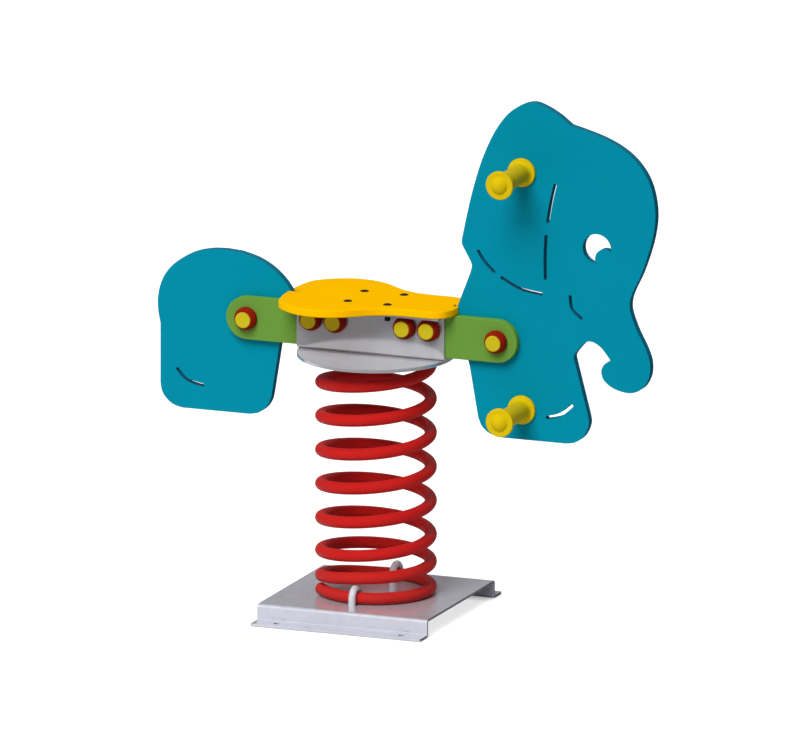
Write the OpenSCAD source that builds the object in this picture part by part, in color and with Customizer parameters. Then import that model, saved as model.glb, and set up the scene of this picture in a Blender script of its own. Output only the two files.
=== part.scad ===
// Playground spring rider, in millimetres.
// X points forward, towards the head; Y points to the rider's left; Z points up.
// The origin is on the ground, at the middle of the four anchor holes, below the spring.

/* [Ground plate] */
// Length of the ground plate, along X
base_length = 300; // [260:5:360]
// Width of the ground plate over its two side walls
base_width = 300; // [260:5:360]
// Height of the plate's top face over the ground
base_height = 30; // [28:1:50]
// Thickness of the ground plate's steel sheet
base_sheet = 4; // [3:0.5:6]
// Inner radius of the sheet's bends
base_bend = 2; // [1:0.5:5]
// Width of each foot flange
foot_width = 30; // [24:1:45]
// Radius of the foot flanges' outer corners
foot_corner = 2; // [1:1:20]
// Diameter of the anchor holes in the feet
anchor_hole_d = 9; // [7:0.5:14]
// Distance between the anchor holes along X
anchor_spacing_x = 220; // [180:5:250]

/* [Spring] */
// Diameter of the spring wire
wire_d = 20; // [14:0.5:22]
// Outer diameter of the spring
spring_outer_d = 200; // [180:2:210]
// Free height of the spring, from the ground plate to the head plate
spring_height = 400; // [370:5:440]
// How far the front clamp pushes the lowest free coil up
low_coil_lift = 21; // [8:1:26]

/* [Spring clamps] */
// Diameter of the clamps' round rod
clamp_rod = 12; // [8:0.5:12]
// Angle of the first top clamp round the spring
top_clamp_first_angle = 90; // [90:15:105]
// Angle of the second top clamp round the spring
top_clamp_second_angle = 150; // [135:15:165]
// Thickness of the clamps' washers
clamp_washer_t = 2.5; // [1.5:0.5:3]
// Height of the clamps' nuts
clamp_nut_h = 8; // [6:0.5:9]

/* [Head plate] */
// Diameter of the round plate on top of the spring
head_plate_d = 260; // [248:2:290]
// Thickness of the round plate
head_plate_t = 6; // [4:0.5:10]

/* [Seat bracket] */
// Thickness of the bracket's sheet
bracket_sheet = 4; // [3:0.5:5]
// Inner radius of the bracket's bends
bracket_bend = 0.8; // [0.2:0.1:0.8]
// Width of each top flange of the bracket
bracket_flange = 26; // [24:1:32]
// Free play between the beams and the bracket
bracket_play = 0.3; // [0.1:0.1:0.6]
// Distance of the inner bracket bolts from the middle
bracket_bolt_near = 61; // [60:0.5:64]
// Distance of the outer bracket bolts from the middle
bracket_bolt_far = 104; // [101:1:110]
// Height of the bracket bolts over the beams' centre line
bracket_bolt_rise = 10.5; // [0:0.5:11]

/* [Beams] */
// Thickness of the beams
beam_t = 13; // [10:0.5:15]
// Height of the beams
beam_h = 72; // [68:1:84]
// Distance of the beams' outer bolts from the middle
beam_bolt_x = 220.5; // [210:0.5:230]
// Distance of the beams' inner ends from the middle
beam_inner_x = 36; // [10:1:40]

/* [Panels] */
// Thickness of the animal panels
panel_t = 15; // [10:0.5:18]
// Width of the lines cut through the panels
line_w = 5.5; // [4:0.5:8]
// Radius of the eye opening
eye_r = 25; // [22:0.5:28]
// Radius of the pupil that stands in the eye opening
pupil_r = 16.8; // [12:0.2:18]

/* [Seat] */
// Thickness of the seat board
seat_t = 13; // [10:0.5:18]
// Distance between the seat bolts along X
seat_bolt_x = 70; // [50:1:72]
// Distance between the seat bolts along Y
seat_bolt_y = 74; // [72:1:78]
// Diameter of the seat bolts' thread
seat_bolt_d = 6; // [5:0.5:7]
// Diameter of the seat bolts' heads
seat_head_d = 14; // [12:0.5:18]
// Play between a panel and its slot in the seat, on each side
slot_play = 0.5; // [0.2:0.1:1]

/* [Bolts and covers] */
// Diameter of the bolts and rods
bolt_d = 10; // [8:0.5:10]
// Width across the flats of the bolt heads and nuts
bolt_flats = 17; // [13:0.5:17]
// Height of the bolt heads
bolt_head_h = 6.4; // [5:0.1:7]
// Height of the nuts
bolt_nut_h = 8; // [6:0.5:8]
// Thickness of the washers under heads and nuts
washer_t = 2; // [1:0.5:2.5]
// Diameter of a bolt cover's round base
cover_d = 38.6; // [36:0.2:41]
// Height of a bolt cover's base
cover_h = 15; // [14:0.5:18]
// Diameter of a bolt cover's cap
cap_d = 27.4; // [26.6:0.2:30]
// Height of the cap over the base
cap_rise = 2.5; // [1.5:0.5:5]

/* [Handles] */
// Distance of the handles' axes in front of the spring
grip_x = 261; // [255:1:275]
// Height of the hand grips over the beams' centre line
hand_grip_rise = 286.5; // [265:0.5:300]
// Distance of the foot rests below the beams' centre line
foot_rest_drop = 113.5; // [108:0.5:122]
// Length of a grip, from the panel to its outer face
grip_length = 103; // [90:1:130]
// Diameter of a grip's flanges
grip_flange_d = 48; // [46:1:60]
// Thickness of a grip's flanges
grip_flange_t = 6; // [5:0.5:8]
// Diameter of the handle between its flanges
grip_d = 32; // [28:0.5:33]
// Radius of the hollow between handle and flange
grip_hollow = 5; // [4:0.5:6.5]
// Diameter of the domed end cap
dome_d = 29; // [27:0.5:34]
// Height of the domed end cap
dome_h = 8; // [4:0.5:12]

/* [Hidden] */

$fn = 64;

// Sides, as signs along Y
right = -1;
left = 1;

// Ends, as signs along X
rear = -1;
front = 1;

// Colours
galvanised = [0.74, 0.75, 0.78];
bolt_steel = [0.55, 0.56, 0.58];
dark_bolt = [0.16, 0.16, 0.17];
spring_red = [0.78, 0.10, 0.10];
beam_green = [0.41, 0.59, 0.24];
panel_blue = [0.00, 0.54, 0.64];
seat_yellow = [0.98, 0.74, 0.00];
grip_yellow = [0.86, 0.76, 0.10];
cover_red = [0.60, 0.10, 0.08];

// Clearances
fit_gap = 0.3;
thread_gap = 0.1;
hole_play = 0.5;
coil_play = 1.2;

// Points per span of a smooth outline, and segments of a quarter bend
curve_steps = 5;
bend_steps = 6;

// Spring: one wire, wound anticlockwise as it rises. Angles are counted in degrees round the
// spring from the X axis and keep growing from the lowest coil to the highest
wire_r = wire_d / 2;
coil_r = spring_outer_d / 2 - wire_r;
wire_start_angle = -135;
wire_leaves_base_angle = 112;
base_clamp_front_angle = 270;
free_coils_angle = 720;
wire_top_angle = 2579;
wire_end_angle = 2700;
ring_step_angle = 15;
ring_sides = 6;
knee_angle = 8;
low_coil_z = base_height + fit_gap + wire_r;
head_plate_z = base_height + spring_height;
high_coil_z = head_plate_z - fit_gap - wire_r;
clamp_r = wire_r + fit_gap + clamp_rod / 2;
over_clamp_z = low_coil_z + clamp_r + clamp_rod / 2 + wire_r + coil_play;
rise_per_degree = (high_coil_z - over_clamp_z + low_coil_lift) / (wire_top_angle - base_clamp_front_angle);

// Clamps: the front and back one on the base stand on the Y axis
base_clamp_angles = [90, 270];
top_clamp_angles = [top_clamp_first_angle, top_clamp_second_angle];
clamp_flats = 1.5 * clamp_rod;
clamp_washer_d = 2 * clamp_rod;
thread_end = 3;

// Bracket and beams
head_plate_top = head_plate_z + head_plate_t;
beam_gap = 0.5;
beam_bottom_z = head_plate_top + bracket_sheet + beam_gap;
beam_z = beam_bottom_z + beam_h / 2;
hand_grip_z = beam_z + hand_grip_rise;
foot_rest_z = beam_z - foot_rest_drop;
bracket_top_z = beam_bottom_z + beam_h + beam_gap;
beam_y = (panel_t + beam_t) / 2;
beam_face_y = panel_t / 2 + beam_t;
bracket_length = head_plate_d;
bracket_inside = beam_face_y + bracket_play;
bracket_face_y = bracket_inside + bracket_sheet;
bracket_bolt_z = beam_z + bracket_bolt_rise;
bracket_bolts_x = [-bracket_bolt_far, -bracket_bolt_near, bracket_bolt_near, bracket_bolt_far];
panel_bolts_x = [-beam_bolt_x, beam_bolt_x];
spacer_margin = 16;

// Seat
seat_bottom_z = bracket_top_z;
seat_top_z = seat_bottom_z + seat_t;
seat_head_sunk = 2.5;
seat_head_h = 4;
rivet_nut_d = 1.65 * seat_bolt_d;
rivet_nut_depth = 14;

// Handles
rod_end = grip_length - 3;
grip_pocket_r = 12.5;
grip_pocket_depth = 13;
dome_skirt = 4;
dome_wall = 1.8;
edge_round = 1;
cap_edge = 1;
head_chamfer = 0.6;

// Panel and seat outlines are lists of stretches. A stretch is a list of points that a smooth
// curve runs through, and stretches are joined by straight edges. Points are [x, z] for the
// panels and [x, y] for the seat's left half. The panels are drawn for beams whose centre line
// is this high over the ground, and move up and down with the beams
drawn_beam_z = 476.5;
head_crown = [[346, 848.5], [372, 842], [404, 832.5], [435, 818.5], [461, 799], [481, 773],
    [492, 743], [496, 709], [492, 675], [483, 642], [471, 609], [456, 577.5], [451, 560],
    [452, 543], [463, 514], [478, 485], [486, 462], [485, 438], [473, 417], [452, 407],
    [425, 411], [406, 423], [400, 438], [404, 450], [416, 459.5]];
trunk_arch = [[416, 459.5], [408, 470], [398, 480.5], [384, 487.5], [371, 484.5], [354, 465],
    [352, 457]];
leg_toe = [[376.5, 364], [378.5, 350], [374, 335], [365, 322.5], [352, 314.5], [337, 312]];
leg_heel = [[230, 312], [214, 313.5], [200, 319], [189, 329], [183, 343]];
beam_notch = [[168, 428], [163.5, 441], [152, 456], [143, 472], [140, 492], [142, 512], [147, 528]];
neck = [[169, 585], [171.8, 596], [170, 604]];
ear_corner = [[157, 627], [154, 634], [154.5, 642]];
ear = [[161, 673], [172, 720], [188, 773], [209, 821], [232, 855], [256, 874], [281, 881.5],
    [305, 874.5], [327, 863]];
head_outline = [head_crown, trunk_arch, leg_toe, leg_heel, beam_notch, neck, ear_corner, ear];

// Rear panel, from its top round the back to the seat
rear_back = [[-263, 585], [-290, 583], [-318, 575.5], [-345, 560.5], [-365, 541], [-377, 518],
    [-382, 493], [-381, 470], [-377.4, 452]];
rear_back_corner = [[-377.4, 352], [-374.5, 337], [-366, 324.5], [-354, 316], [-339, 312]];
rear_front_corner = [[-221, 312], [-206, 315], [-193, 323.5], [-184, 337], [-180, 354]];
rear_slot_nose = [[-164, 453], [-153, 478], [-145, 496], [-142.5, 511], [-147, 526],
    [-162, 545.5], [-183, 563], [-208, 575.5], [-236, 583]];
rear_outline = [rear_back, rear_back_corner, rear_front_corner, rear_slot_nose];

// Lines cut through the panels: each is a curve through its points
head_lines = [
    [[318.7, 746], [311.5, 715], [306, 683.5]],
    [[302.8, 658], [301.3, 626], [301.6, 587]],
    [[183.5, 622.5], [195, 606], [211, 590.5]],
    [[225, 581.5], [257, 566], [294.5, 560.5]],
    [[345.4, 560.5], [349, 540], [365, 525.5]],
    [[305, 353], [328, 360], [348, 376.5]]];
rear_lines = [[[-347, 376.5], [-330, 360], [-302.5, 353]]];
eye_centre = [392.5, 645];
pupil_centre = [406, 628.7];

// Left half of the seat outline, from the rear edge to the front edge
seat_rear_x = -152;
seat_front_x = 149;
seat_half = [[seat_rear_x, 10], [-151.5, 26], [-149.5, 44], [-146.5, 60], [-141.5, 75.5],
    [-128, 91], [-110, 104], [-91, 112.5], [-70, 116], [-46, 113.5], [-20, 102.5], [0, 87.5],
    [20, 72.5], [45, 61], [75, 56.5], [105, 56.5], [125, 54], [139, 45], [146.5, 29],
    [seat_front_x, 12]];
slot_rear_x = -133;
slot_front_x = 138;

// A smooth curve through points, by cubic pieces
function knot(p, i) = p[max(0, min(len(p) - 1, i))];
function between(a, b, c, d, t) =
    0.5 * (2 * b + (c - a) * t + (2 * a - 5 * b + 4 * c - d) * t * t
    + (3 * b - a - 3 * c + d) * t * t * t);
function curve(p) = [
    for (i = [0:len(p) - 2], k = [0:curve_steps - 1])
        between(knot(p, i - 1), p[i], p[i + 1], knot(p, i + 2), k / curve_steps),
    p[len(p) - 1]];
function outline(stretches) = [for (s = stretches) each curve(s)];

// Drops points that repeat the one before them
function without_repeats(p) = [for (i = [0:len(p) - 1])
    if (norm(p[i] - p[(i + 1) % len(p)]) > 0.001) p[i]];

// Points on an arc, from one angle to another
function arc(centre, r, from, to, steps = bend_steps) =
    [for (k = [0:steps]) let (a = from + (to - from) * k / steps) centre + r * [cos(a), sin(a)]];

// The outline of a line of width w along a curve, with round ends
function direction(p, i) = let (d = knot(p, i + 1) - knot(p, i - 1)) atan2(d[1], d[0]);
function side_of(p, i, offset) = let (a = direction(p, i) + 90) p[i] + offset * [cos(a), sin(a)];
function stroke(p, w) = let (n = len(p) - 1) [
    for (i = [0:n]) side_of(p, i, w / 2),
    each arc(p[n], w / 2, direction(p, n) + 75, direction(p, n) - 75),
    for (i = [n:-1:0]) side_of(p, i, -w / 2),
    each arc(p[0], w / 2, direction(p, 0) - 105, direction(p, 0) - 255)];

// Height of the wire's centre at an angle
function free_coil_z(a) = high_coil_z - (wire_top_angle - a) * rise_per_degree;
function lift(a) = let (t = (free_coils_angle - a) / (free_coils_angle - base_clamp_front_angle))
    low_coil_lift * t * t;
function wire_z(a) =
    a <= wire_leaves_base_angle ? low_coil_z :
    a <= base_clamp_front_angle ? low_coil_z + (over_clamp_z - low_coil_z)
        * (a - wire_leaves_base_angle) / (base_clamp_front_angle - wire_leaves_base_angle) :
    a <= free_coils_angle ? free_coil_z(a) + lift(a) :
    min(high_coil_z, free_coil_z(a));
function smooth_wire_z(a) = (wire_z(a - 2 * knee_angle) + wire_z(a - knee_angle) + wire_z(a)
    + wire_z(a + knee_angle) + wire_z(a + 2 * knee_angle)) / 5;
function wire_point(a) = [coil_r * cos(a), coil_r * sin(a), smooth_wire_z(a)];
function heading(a) = let (d = wire_point(a + 1) - wire_point(a - 1)) d / norm(d);

// One ring of points round the wire, and the same ring moved on along the wire
function ring(a, ahead = 0) = let (h = heading(a), out = [cos(a), sin(a), 0], up = cross(h, out))
    [for (k = [0:ring_sides - 1]) let (t = 90 + 360 * k / ring_sides)
        wire_point(a) + ahead * h + wire_r * (cos(t) * out + sin(t) * up)];

module upright(y, t) {
    translate([0, y + t / 2, 0]) rotate([90, 0, 0]) linear_extrude(height = t) children();
}

// Turns what stands along Z so that it stands out from the middle plane, on one side
module outwards(side, x, z, from) {
    translate([x, side * from, z]) rotate([side * -90, 0, 0]) children();
}

module hexagon_nut(flats, height, bore) {
    difference() {
        cylinder(h = height, d = flats / cos(30), $fn = 6);
        translate([0, 0, -1]) cylinder(h = height + 2, d = bore + 2 * thread_gap);
    }
}

module washer(outer, height, bore) {
    difference() {
        cylinder(h = height, d = outer);
        translate([0, 0, -1]) cylinder(h = height + 2, d = bore + hole_play);
    }
}

module rounded_rectangle(x, y, r) {
    square([x - 2 * r, y], center = true);
    square([x, y - 2 * r], center = true);
    for (sx = [-1, 1], sy = [-1, 1]) translate([sx * (x / 2 - r), sy * (y / 2 - r)]) circle(r);
}

// A bent sheet's section: its middle line turns a right angle at each inner point of a path
function bend_points(a, b, c, r) = let (
    from = (b - a) / norm(b - a),
    to = (c - b) / norm(c - b),
    turn = sign(from[0] * to[1] - from[1] * to[0]),
    centre = b - r * from + turn * r * [-from[1], from[0]],
    heading = atan2(from[1], from[0]))
    [for (k = [0:bend_steps]) let (h = heading + turn * 90 * k / bend_steps)
        [centre + turn * r * [sin(h), -cos(h)], h]];

module sheet_section(path, t, inner_radius) {
    n = len(path) - 1;
    r = inner_radius + t / 2;
    line = [[path[0], direction(path, 0)],
        for (i = [1:n - 1]) each bend_points(path[i - 1], path[i], path[i + 1], r),
        [path[n], direction(path, n)]];
    polygon([for (p = line) p[0] + t / 2 * [-sin(p[1]), cos(p[1])],
        for (i = [len(line) - 1:-1:0]) line[i][0] - t / 2 * [-sin(line[i][1]), cos(line[i][1])]]);
}

function mirrored(p) = [for (i = [len(p) - 1:-1:0]) [-p[i][0], p[i][1]]];

// Ground plate: a flat top, two side walls and two foot flanges, folded from one sheet
module base_section() {
    t = base_sheet;
    left_half = [[(base_width - t) / 2, base_height - t / 2], [(base_width - t) / 2, t / 2],
        [base_width / 2 + foot_width, t / 2]];
    sheet_section([each mirrored(left_half), each left_half], t, base_bend);
}

module anchor_holes() {
    anchor_spacing_y = base_width + foot_width;
    for (sx = [-1, 1], sy = [-1, 1])
        translate([sx * anchor_spacing_x / 2, sy * anchor_spacing_y / 2, -1])
            cylinder(h = base_sheet + 2, d = anchor_hole_d);
}

module base_plate() {
    color(galvanised) difference() {
        intersection() {
            rotate([90, 0, 90]) translate([0, 0, -base_length / 2])
                linear_extrude(height = base_length) base_section();
            translate([0, 0, -1]) linear_extrude(height = base_height + 2)
                rounded_rectangle(base_length, base_width + 2 * foot_width, foot_corner);
        }
        anchor_holes();
        clamp_leg_holes(base_clamp_angles, base_height - base_sheet - 1, base_sheet + 2);
    }
}

// Spring clamps: a round rod bent over the wire, with two straight legs
module each_clamp_leg(angles) {
    for (a = angles) rotate(a) for (s = [-1, 1]) translate([coil_r + s * clamp_r, 0, 0]) children();
}

module clamp_leg_holes(angles, z, height) {
    each_clamp_leg(angles) translate([0, 0, z]) cylinder(h = height, d = clamp_rod + hole_play);
}

module clamp_rod_bend() {
    rotate([90, 0, 0]) rotate_extrude(angle = 180) translate([clamp_r, 0]) circle(d = clamp_rod);
}

module base_spring_clamps() {
    leg_bottom = base_height - base_sheet - clamp_washer_t - clamp_nut_h - thread_end;
    color(galvanised) {
        for (a = base_clamp_angles) rotate(a) {
            translate([coil_r, 0, low_coil_z]) clamp_rod_bend();
            for (s = [-1, 1]) translate([coil_r + s * clamp_r, 0, leg_bottom])
                cylinder(h = low_coil_z - leg_bottom, d = clamp_rod);
        }
    }
}

module base_clamp_washers() {
    color(bolt_steel) each_clamp_leg(base_clamp_angles)
        translate([0, 0, base_height - base_sheet - clamp_washer_t])
            washer(clamp_washer_d, clamp_washer_t, clamp_rod);
}

module base_clamp_nuts() {
    color(bolt_steel) each_clamp_leg(base_clamp_angles)
        translate([0, 0, base_height - base_sheet - clamp_washer_t - clamp_nut_h])
            hexagon_nut(clamp_flats, clamp_nut_h, clamp_rod);
}

module top_spring_clamps() {
    leg_top = head_plate_top + clamp_washer_t + clamp_nut_h + thread_end;
    color(galvanised) {
        for (a = top_clamp_angles) rotate(a) {
            translate([coil_r, 0, high_coil_z]) rotate([180, 0, 0]) clamp_rod_bend();
            for (s = [-1, 1]) translate([coil_r + s * clamp_r, 0, high_coil_z])
                cylinder(h = leg_top - high_coil_z, d = clamp_rod);
        }
    }
}

module top_clamp_washers() {
    color(bolt_steel) each_clamp_leg(top_clamp_angles) translate([0, 0, head_plate_top])
        washer(clamp_washer_d, clamp_washer_t, clamp_rod);
}

module top_clamp_nuts() {
    color(bolt_steel) each_clamp_leg(top_clamp_angles)
        translate([0, 0, head_plate_top + clamp_washer_t])
            hexagon_nut(clamp_flats, clamp_nut_h, clamp_rod);
}

// Spring: rings joined into one tube. Each end runs on straight for one wire diameter
module coil_spring() {
    angles = [for (a = [wire_start_angle:ring_step_angle:wire_end_angle]) a];
    rings = [ring(wire_start_angle, -wire_d), for (a = angles) ring(a),
        ring(angles[len(angles) - 1], wire_d)];
    last = len(rings) - 1;
    points = [for (r = rings) each r];
    sides = [for (i = [0:last - 1], k = [0:ring_sides - 1])
        let (n = (k + 1) % ring_sides, a = i * ring_sides, b = a + ring_sides)
        each [[a + k, b + k, b + n], [a + k, b + n, a + n]]];
    start_cap = [for (k = [1:ring_sides - 2]) [0, k, k + 1]];
    end_cap = [for (k = [1:ring_sides - 2])
        [last * ring_sides, last * ring_sides + k + 1, last * ring_sides + k]];
    centres = [wire_point(wire_start_angle) - wire_d * heading(wire_start_angle),
        for (a = angles) wire_point(a),
        wire_point(wire_end_angle) + wire_d * heading(wire_end_angle)];
    half_turn = 180 / ring_step_angle;
    least = min([for (i = [0:len(centres) - 1 - half_turn])
        min([for (j = [i + half_turn:len(centres) - 1]) norm(centres[i] - centres[j])])]);
    echo(str("least gap of the spring to itself: ", least - wire_d, " mm"));
    color(spring_red) polyhedron(points, [each sides, each start_cap, each end_cap], convexity = 10);
}

module head_plate() {
    color(galvanised) difference() {
        translate([0, 0, head_plate_z]) cylinder(h = head_plate_t, d = head_plate_d, $fn = 96);
        clamp_leg_holes(top_clamp_angles, head_plate_z - 1, head_plate_t + 2);
    }
}

// Seat bracket: a channel folded from one sheet, welded to the head plate along its foot
module bracket_section() {
    t = bracket_sheet;
    left_half = [[bracket_inside + t / 2, head_plate_top + t / 2],
        [bracket_inside + t / 2, bracket_top_z - t / 2],
        [bracket_face_y + bracket_flange, bracket_top_z - t / 2]];
    sheet_section([each mirrored(left_half), each left_half], t, bracket_bend);
}

module bracket_bolt_holes(bolts, z) {
    for (x = bolts) translate([x, 0, z]) rotate([90, 0, 0])
        cylinder(h = 4 * bracket_face_y, d = bolt_d + hole_play, center = true);
}

module seat_bolt_places() {
    for (sx = [-1, 1], sy = [-1, 1])
        translate([sx * seat_bolt_x / 2, sy * seat_bolt_y / 2, 0]) children();
}

module seat_bracket() {
    color(galvanised) difference() {
        rotate([90, 0, 90]) translate([0, 0, -bracket_length / 2])
            linear_extrude(height = bracket_length) bracket_section();
        bracket_bolt_holes(bracket_bolts_x, bracket_bolt_z);
        seat_bolt_places() translate([0, 0, bracket_top_z - bracket_sheet - 1])
            cylinder(h = bracket_sheet + 2, d = rivet_nut_d + 2 * thread_gap);
    }
}

// A beam: a bar with one round end, which holds its panel
module beam(end, side) {
    color(beam_green) upright(side * beam_y, beam_t) difference() {
        union() {
            translate([end > 0 ? beam_inner_x : -beam_bolt_x, beam_z - beam_h / 2])
                square([beam_bolt_x - beam_inner_x, beam_h]);
            translate([end * beam_bolt_x, beam_z]) circle(d = beam_h, $fn = 96);
        }
        translate([end * beam_bolt_x, beam_z]) circle(d = bolt_d + hole_play);
        for (x = [bracket_bolt_near, bracket_bolt_far])
            translate([end * x, bracket_bolt_z]) circle(d = bolt_d + hole_play);
    }
}

module rear_beam_right() { beam(rear, right); }
module rear_beam_left() { beam(rear, left); }
module front_beam_right() { beam(front, right); }
module front_beam_left() { beam(front, left); }

// A spacer block fills the room between two beams inside the bracket
module spacer(end) {
    spacer_h = 2 * min(spacer_margin, beam_h / 2 - bracket_bolt_rise);
    spacer_x = bracket_bolt_near - spacer_margin;
    spacer_length = bracket_bolt_far - bracket_bolt_near + 2 * spacer_margin;
    color(beam_green) upright(0, panel_t) difference() {
        translate([end > 0 ? spacer_x : -spacer_x - spacer_length, bracket_bolt_z - spacer_h / 2])
            square([spacer_length, spacer_h]);
        for (x = [bracket_bolt_near, bracket_bolt_far])
            translate([end * x, bracket_bolt_z]) circle(d = bolt_d + hole_play);
    }
}

module rear_spacer() { spacer(rear); }
module front_spacer() { spacer(front); }

module cut_lines(lines) {
    for (l = lines) polygon(stroke(curve(l), line_w));
}

module rear_panel() {
    color(panel_blue) upright(0, panel_t) difference() {
        translate([0, beam_z - drawn_beam_z]) difference() {
            polygon(outline(rear_outline));
            cut_lines(rear_lines);
        }
        translate([-beam_bolt_x, beam_z]) circle(d = bolt_d + hole_play);
    }
}

module head_panel() {
    color(panel_blue) upright(0, panel_t) difference() {
        translate([0, beam_z - drawn_beam_z]) difference() {
            polygon(without_repeats(outline(head_outline)));
            cut_lines(head_lines);
            difference() {
                translate(eye_centre) circle(eye_r, $fn = 96);
                translate(pupil_centre) circle(pupil_r, $fn = 96);
            }
        }
        translate([beam_bolt_x, beam_z]) circle(d = bolt_d + hole_play);
        for (z = [hand_grip_z, foot_rest_z]) translate([grip_x, z]) circle(d = bolt_d + hole_play);
    }
}

// Seat board, with a slot at each end for the panel's edge and shallow seats for its bolts' heads
module seat() {
    half = curve(seat_half);
    slot_w = panel_t + 2 * slot_play;
    color(seat_yellow) difference() {
        translate([0, 0, seat_bottom_z]) linear_extrude(height = seat_t) difference() {
            polygon([each half, each [for (i = [len(half) - 1:-1:0]) [half[i][0], -half[i][1]]]]);
            translate([seat_rear_x - 1, -slot_w / 2]) square([slot_rear_x - seat_rear_x + 1, slot_w]);
            translate([slot_front_x, -slot_w / 2]) square([seat_front_x - slot_front_x + 1, slot_w]);
        }
        seat_bolt_places() {
            translate([0, 0, seat_bottom_z - 1]) cylinder(h = seat_t + 2, d = seat_bolt_d + hole_play);
            translate([0, 0, seat_top_z - seat_head_sunk])
                cylinder(h = seat_head_sunk + 1, d = seat_head_d + hole_play);
        }
    }
}

module seat_bolts() {
    head_bottom = seat_top_z - seat_head_sunk;
    shank_bottom = bracket_top_z - rivet_nut_depth + 1;
    color(dark_bolt) seat_bolt_places() difference() {
        union() {
            translate([0, 0, head_bottom]) cylinder(h = seat_head_h, d = seat_head_d);
            translate([0, 0, shank_bottom]) cylinder(h = head_bottom - shank_bottom, d = seat_bolt_d);
        }
        translate([0, 0, head_bottom + 1.5])
            cylinder(h = seat_head_h, d = 0.6 * seat_bolt_d / cos(30), $fn = 6);
    }
}

// Rivet nuts set in the bracket's flanges, flush with its top
module seat_nuts() {
    color(bolt_steel) seat_bolt_places() translate([0, 0, bracket_top_z - rivet_nut_depth])
        difference() {
            cylinder(h = rivet_nut_depth, d = rivet_nut_d);
            translate([0, 0, -1])
                cylinder(h = rivet_nut_depth + 2, d = seat_bolt_d + 2 * thread_gap);
        }
}

// A through bolt along Y, its head on the right and its nut on the left
module through_bolt(x, z, face) {
    end = face + washer_t + bolt_nut_h + 1.5;
    outwards(right, x, z, face + washer_t) hexagon_head();
    outwards(left, x, z, -face - washer_t) cylinder(h = face + washer_t + end, d = bolt_d);
}

module hexagon_head() {
    cylinder(h = bolt_head_h, d = bolt_flats / cos(30), $fn = 6);
}

module bolt_row(bolts, z, face) {
    color(bolt_steel) for (x = bolts) through_bolt(x, z, face);
}

module nut_row(bolts, z, face) {
    color(bolt_steel) for (x = bolts) outwards(left, x, z, face + washer_t)
        hexagon_nut(bolt_flats, bolt_nut_h, bolt_d);
}

module washer_row(bolts, z, face) {
    color(bolt_steel) for (x = bolts, side = [right, left]) outwards(side, x, z, face)
        washer(bolt_flats / cos(30) + 2, washer_t, bolt_d);
}

module bracket_bolts() { bolt_row(bracket_bolts_x, bracket_bolt_z, bracket_face_y); }
module bracket_bolt_nuts() { nut_row(bracket_bolts_x, bracket_bolt_z, bracket_face_y); }
module bracket_bolt_washers() { washer_row(bracket_bolts_x, bracket_bolt_z, bracket_face_y); }
module panel_bolts() { bolt_row(panel_bolts_x, beam_z, beam_face_y); }
module panel_bolt_nuts() { nut_row(panel_bolts_x, beam_z, beam_face_y); }
module panel_bolt_washers() { washer_row(panel_bolts_x, beam_z, beam_face_y); }

// Bolt cover: a domed ring round the bolt's head or nut, closed by a cap
module cover_base() {
    r = cover_d / 2;
    inside = cap_d / 2 - 1;
    rotate_extrude() polygon([[inside, 0], [r, 0], [r, 0.45 * cover_h],
        [r - 0.7, 0.65 * cover_h], [r - 2.2, 0.86 * cover_h], [cap_d / 2 + 0.8, cover_h],
        [inside, cover_h]]);
}

module cover_cap() {
    r = cap_d / 2;
    plug = r - 1 - thread_gap;
    rotate_extrude() polygon([[0, cover_h], [plug - 2, cover_h], [plug - 2, cover_h - 3],
        [plug, cover_h - 3], [plug, cover_h], [r, cover_h],
        [r, cover_h + cap_rise - cap_edge],
        [r - 0.3 * cap_edge, cover_h + cap_rise - 0.3 * cap_edge],
        [r - cap_edge, cover_h + cap_rise], [0, cover_h + cap_rise]]);
}

module cover_bases(bolts, z, face, side) {
    color(cover_red) for (x = bolts) outwards(side, x, z, face) cover_base();
}

module cover_caps(bolts, z, face, side) {
    color(grip_yellow) for (x = bolts) outwards(side, x, z, face) cover_cap();
}

module bracket_cover_bases_right() {
    cover_bases(bracket_bolts_x, bracket_bolt_z, bracket_face_y, right);
}
module bracket_cover_bases_left() {
    cover_bases(bracket_bolts_x, bracket_bolt_z, bracket_face_y, left);
}
module bracket_cover_caps_right() {
    cover_caps(bracket_bolts_x, bracket_bolt_z, bracket_face_y, right);
}
module bracket_cover_caps_left() {
    cover_caps(bracket_bolts_x, bracket_bolt_z, bracket_face_y, left);
}
module panel_cover_bases_right() { cover_bases(panel_bolts_x, beam_z, beam_face_y, right); }
module panel_cover_bases_left() { cover_bases(panel_bolts_x, beam_z, beam_face_y, left); }
module panel_cover_caps_right() { cover_caps(panel_bolts_x, beam_z, beam_face_y, right); }
module panel_cover_caps_left() { cover_caps(panel_bolts_x, beam_z, beam_face_y, left); }

// Grip: a handle with a flange at each end, hollow for its rod, with a pocket for the nut
module grip(z, side) {
    flange = grip_flange_d / 2;
    handle = grip_d / 2;
    bore = (bolt_d + hole_play) / 2;
    far_flange = grip_length - grip_flange_t;
    outer = [[flange - edge_round, 0], [flange, edge_round],
        [flange, grip_flange_t - edge_round], [flange - edge_round, grip_flange_t],
        each arc([handle + grip_hollow, grip_flange_t + grip_hollow], grip_hollow, 270, 180),
        each arc([handle + grip_hollow, far_flange - grip_hollow], grip_hollow, 180, 90),
        [flange - edge_round, far_flange], [flange, far_flange + edge_round],
        [flange, grip_length - edge_round], [flange - edge_round, grip_length]];
    color(grip_yellow) outwards(side, grip_x, z, panel_t / 2) rotate_extrude()
        polygon(without_repeats([[bore, 0], each outer, [grip_pocket_r, grip_length],
            [grip_pocket_r, grip_length - grip_pocket_depth],
            [bore, grip_length - grip_pocket_depth]]));
}

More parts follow.
